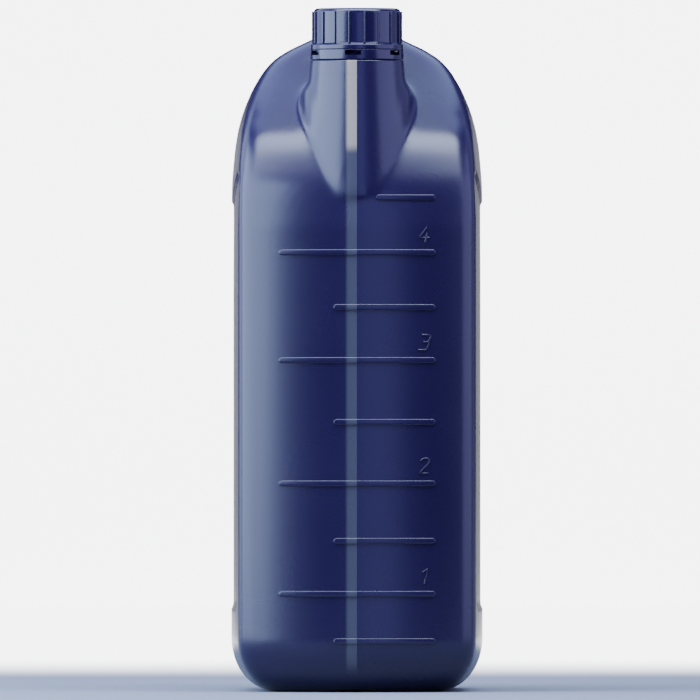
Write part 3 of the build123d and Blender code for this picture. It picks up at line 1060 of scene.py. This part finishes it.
def painted_highlight_strip(tree, place, ground):
    """A painted highlight: a strip light's reflection down the front, painted as a paler stripe that
    is paler still above a given height.
    """
    axes = add_node(tree, "ShaderNodeSeparateXYZ", links={"Vector": (place, "Object")})
    mask = times(
        tree,
        ramp(tree, axes, "X", STRIP_LEFT, STRIP_LEFT + STRIP_SOFT),
        ramp(tree, axes, "X", STRIP_RIGHT, STRIP_RIGHT - 0.0002),
    )
    for axis, start, full in STRIP_ENDS:
        mask = times(tree, mask, ramp(tree, axes, axis, start, full))
    above = ramp(tree, axes, "Z", HIGHLIGHT_PALER_FROM - HIGHLIGHT_PALER_SOFT, HIGHLIGHT_PALER_FROM + HIGHLIGHT_PALER_SOFT)
    tone = mix_colours(tree, (above, 0), PAINTED_HIGHLIGHT_LOW, PAINTED_HIGHLIGHT_HIGH)
    return mix_colours(tree, (mask, 0), ground, (tone, 2))


def moulded_plastic(name, dark, light, rough, grain_mm, depth_mm, specular=0.5, strip=False):
    """A plastic with a fine mould grain, and slow drifts in colour and roughness."""
    material = bpy.data.materials.new(name)
    material.use_nodes = True
    tree = material.node_tree
    tree.nodes.clear()
    place = add_node(tree, "ShaderNodeTexCoord")
    grain = add_node(
        tree, "ShaderNodeTexNoise",
        inputs={"Scale": 1000.0 / grain_mm, "Detail": 2.0, "Roughness": 0.5},
        links={"Vector": (place, "Object")},
    )
    drift = add_node(
        tree, "ShaderNodeTexNoise",
        inputs={"Scale": 18.0, "Detail": 2.0, "Roughness": 0.5},
        links={"Vector": (place, "Object")},
    )
    colour = mix_colours(tree, (drift, 0), dark, light)
    # With strip set, a painted highlight stripe is laid over the colour.
    if strip:
        colour = painted_highlight_strip(tree, place, (colour, 2))
    shine = add_node(
        tree, "ShaderNodeMapRange",
        inputs={"To Min": rough - 0.025, "To Max": rough + 0.025},
        links={"Value": (drift, "Fac")},
    )
    bump = add_node(
        tree, "ShaderNodeBump",
        inputs={"Strength": 1.0, "Distance": depth_mm * MM},
        links={"Height": (grain, "Fac")},
    )
    shader = add_node(
        tree, "ShaderNodeBsdfPrincipled",
        inputs={"IOR": 1.5, "Specular IOR Level": specular},
        links={"Roughness": (shine, "Result"), "Normal": (bump, "Normal")},
    )
    tree.links.new(colour.outputs[2], shader.inputs["Base Color"])
    add_node(tree, "ShaderNodeOutputMaterial", links={"Surface": (shader, "BSDF")})
    return material


def wear(piece, material):
    piece.data.materials.clear()
    piece.data.materials.append(material)


# A painted highlight: a strip light's reflection down the front, painted into the colour as a stripe
# that is paler above a height.
STRIP_LEFT = -0.0062
STRIP_RIGHT = 0.0
STRIP_SOFT = 0.002
# axis, where the painted highlight stripe starts and where it is full: over the base, under the
# neck, in front
STRIP_ENDS = [("Z", 0.008, 0.016), ("Z", 0.3142, 0.3138), ("Y", -0.06, -0.065)]
HIGHLIGHT_PALER_FROM = 0.270
HIGHLIGHT_PALER_SOFT = 0.003
PAINTED_HIGHLIGHT_LOW = "#393945"
PAINTED_HIGHLIGHT_HIGH = "#887f75"

# The printed colour is the paler upper part of the painted highlight stripe.
print("the stripe over the oil, in linear light:", [round(v, 4) for v in linear(PAINTED_HIGHLIGHT_HIGH)])

# %% Plastics of this can
# Blown high-density polyethylene, pigmented navy, with a sand-blasted mould's satin grain and a
# painted highlight stripe down the front.
hdpe = moulded_plastic("navy_blown_hdpe", "#140a2c", "#170c31", 0.27, 0.75, 0.013, strip=True)
# Injection-moulded polypropylene of the cap and its band, a little glossier.
polypropylene = moulded_plastic("navy_moulded_polypropylene", "#140a2b", "#160c30", 0.2, 1.2, 0.002)
# Expanded polyethylene foam of the sealing wad.
foam = moulded_plastic("white_epe_foam", "#e6e6e2", "#efefec", 0.75, 0.5, 0.03, 0.3)
for piece in (skin, marks, neck, *numerals):
    wear(piece, hdpe)
for piece in (cap, band):
    wear(piece, polypropylene)
wear(wad, foam)
print("materials:", [m.name for m in (hdpe, polypropylene, foam)])

# %% [markdown]
# ## Studio
#
# The can stands on a pale sweep that curves up into the backdrop. Dark plastic shows its form by
# what it mirrors, so the softboxes are placed by the direction in which the wall reflects them.

# %% Sweep
SWEEP_HALF = 1.3
SWEEP_FRONT = -0.32
SWEEP_BACK = 4.0
SWEEP_ROUND = 0.25
SWEEP_TOP = 0.6


def sweep():
    path = [(SWEEP_FRONT, 0.0), (SWEEP_BACK - SWEEP_ROUND, 0.0)]
    for k in range(1, 13):
        turn = math.pi / 2 * k / 12
        path.append((
            SWEEP_BACK - SWEEP_ROUND + SWEEP_ROUND * math.sin(turn),
            SWEEP_ROUND * (1 - math.cos(turn)),
        ))
    path.append((SWEEP_BACK, SWEEP_TOP))
    bm = bmesh.new()
    bmesh.ops.create_grid(bm, x_segments=1, y_segments=len(path) - 1, size=1.0)
    for vert in bm.verts:
        y, z = path[round((vert.co.y + 1) / 2 * (len(path) - 1))]
        vert.co = (SWEEP_HALF * vert.co.x, y, z)
    return to_object(bm, "sweep", 1.0)


PAPER = "#747880"
GLOW = 6.0
GLOW_FROM = 0.35  # the backdrop's own light starts this far behind the can, in metres
GLOW_FULL = 1.1
GLOW_SIDE = 0.3  # and it fades between these distances to either side
GLOW_SIDE_END = 0.4
GLOW_EDGE = 0.12  # down to this share, which the sides of the can mirror as a soft rim

paper = bpy.data.materials.new("pale_sweep_paper")
paper.use_nodes = True
paper_tree = paper.node_tree
paper_shader = paper_tree.nodes["Principled BSDF"]
paper_shader.inputs["Base Color"].default_value = linear(PAPER)
paper_shader.inputs["Roughness"].default_value = 0.9
paper_shader.inputs["Emission Color"].default_value = (1.0, 1.0, 1.0, 1.0)
paper_place = add_node(paper_tree, "ShaderNodeTexCoord")
paper_axes = add_node(paper_tree, "ShaderNodeSeparateXYZ", links={"Vector": (paper_place, "Object")})
paper_glow = add_node(
    paper_tree, "ShaderNodeMapRange", {"interpolation_type": "SMOOTHSTEP"},
    inputs={"From Min": GLOW_FROM, "From Max": GLOW_FULL, "To Min": 0.0, "To Max": GLOW},
    links={"Value": (paper_axes, "Y")},
)
paper_side = add_node(
    paper_tree, "ShaderNodeMath", {"operation": "ABSOLUTE"}, links={0: (paper_axes, "X")}
)
paper_middle = ramp(paper_tree, paper_side, 0, GLOW_SIDE_END, GLOW_SIDE)
paper_middle.inputs["To Min"].default_value = GLOW_EDGE
paper_light = times(paper_tree, paper_glow, paper_middle)
paper_tree.links.new(paper_light.outputs[0], paper_shader.inputs["Emission Strength"])
floor = sweep()
wear(floor, paper)
print("sweep width:", 2 * SWEEP_HALF)

# %% Lights
AIM = Vector((0.0, 0.0, 0.17))


def softbox(name, azimuth, elevation, distance, size, radiance, colour):
    """An area light by direction from the can: azimuth 0 is the viewer's side, plus is right."""
    data = bpy.data.lights.new(name, "AREA")
    data.shape = "RECTANGLE"
    data.size, data.size_y = size
    data.energy = radiance * math.pi * size[0] * size[1]
    data.color = linear(colour)[:3]
    lamp = bpy.data.objects.new(name, data)
    a, e = math.radians(azimuth), math.radians(elevation)
    way = Vector((math.sin(a) * math.cos(e), -math.cos(a) * math.cos(e), math.sin(e)))
    lamp.location = AIM + way * distance
    lamp.rotation_euler = (-way).to_track_quat("-Z", "Y").to_euler()
    bpy.context.scene.collection.objects.link(lamp)
    return lamp


softbox("left_softbox", -68, 14, 1.1, (1.52, 1.0), 11.5, "#bcd2f8")
softbox("left_edge", -30, 14, 1.2, (0.16, 1.0), 1.2, "#a9c2f2")
softbox("left_rear", -120, 14, 1.1, (0.7, 1.0), 3.5, "#bcd2f8")
softbox("right_fill", 74, 12, 1.2, (1.2, 1.0), 3.0, "#b8bbff")
softbox("right_rear", 120, 14, 1.1, (0.7, 1.0), 0.7, "#b8bbff")
softbox("front_right", 9, 4, 1.6, (0.5, 1.0), 1.9, "#a4adff")
softbox("top_softbox", 0, 71, 1.1, (1.7, 0.5), 15.0, "#d3e2ff")
softbox("top_halo", 0, 63, 1.15, (2.1, 0.6), 4.5, "#c8daff")
softbox("back_top", 180, 62, 1.1, (1.4, 1.0), 3.5, "#b4caff")

world = bpy.data.worlds.new("studio")
world.use_nodes = True
surround = world.node_tree.nodes["Background"]
surround.inputs["Color"].default_value = linear("#5a5f86")
surround.inputs["Strength"].default_value = 0.2
bpy.context.scene.world = world

# %% Camera
VIEW_DISTANCE = 10.0  # far off, so that the front and the back are at one scale
VIEW_WIDTH = 0.35
VIEW_X = -0.0035
VIEW_Z = 0.170
SENSOR = 36.0
camera_data = bpy.data.cameras.new("camera")
camera_data.sensor_width = SENSOR
camera_data.lens = VIEW_DISTANCE * SENSOR / VIEW_WIDTH
camera = bpy.data.objects.new("camera", camera_data)
camera.location = (VIEW_X, -VIEW_DISTANCE, VIEW_Z)
camera.rotation_euler = (math.radians(90), 0, 0)
bpy.context.scene.collection.objects.link(camera)
bpy.context.scene.camera = camera
print("camera lens:", camera_data.lens)
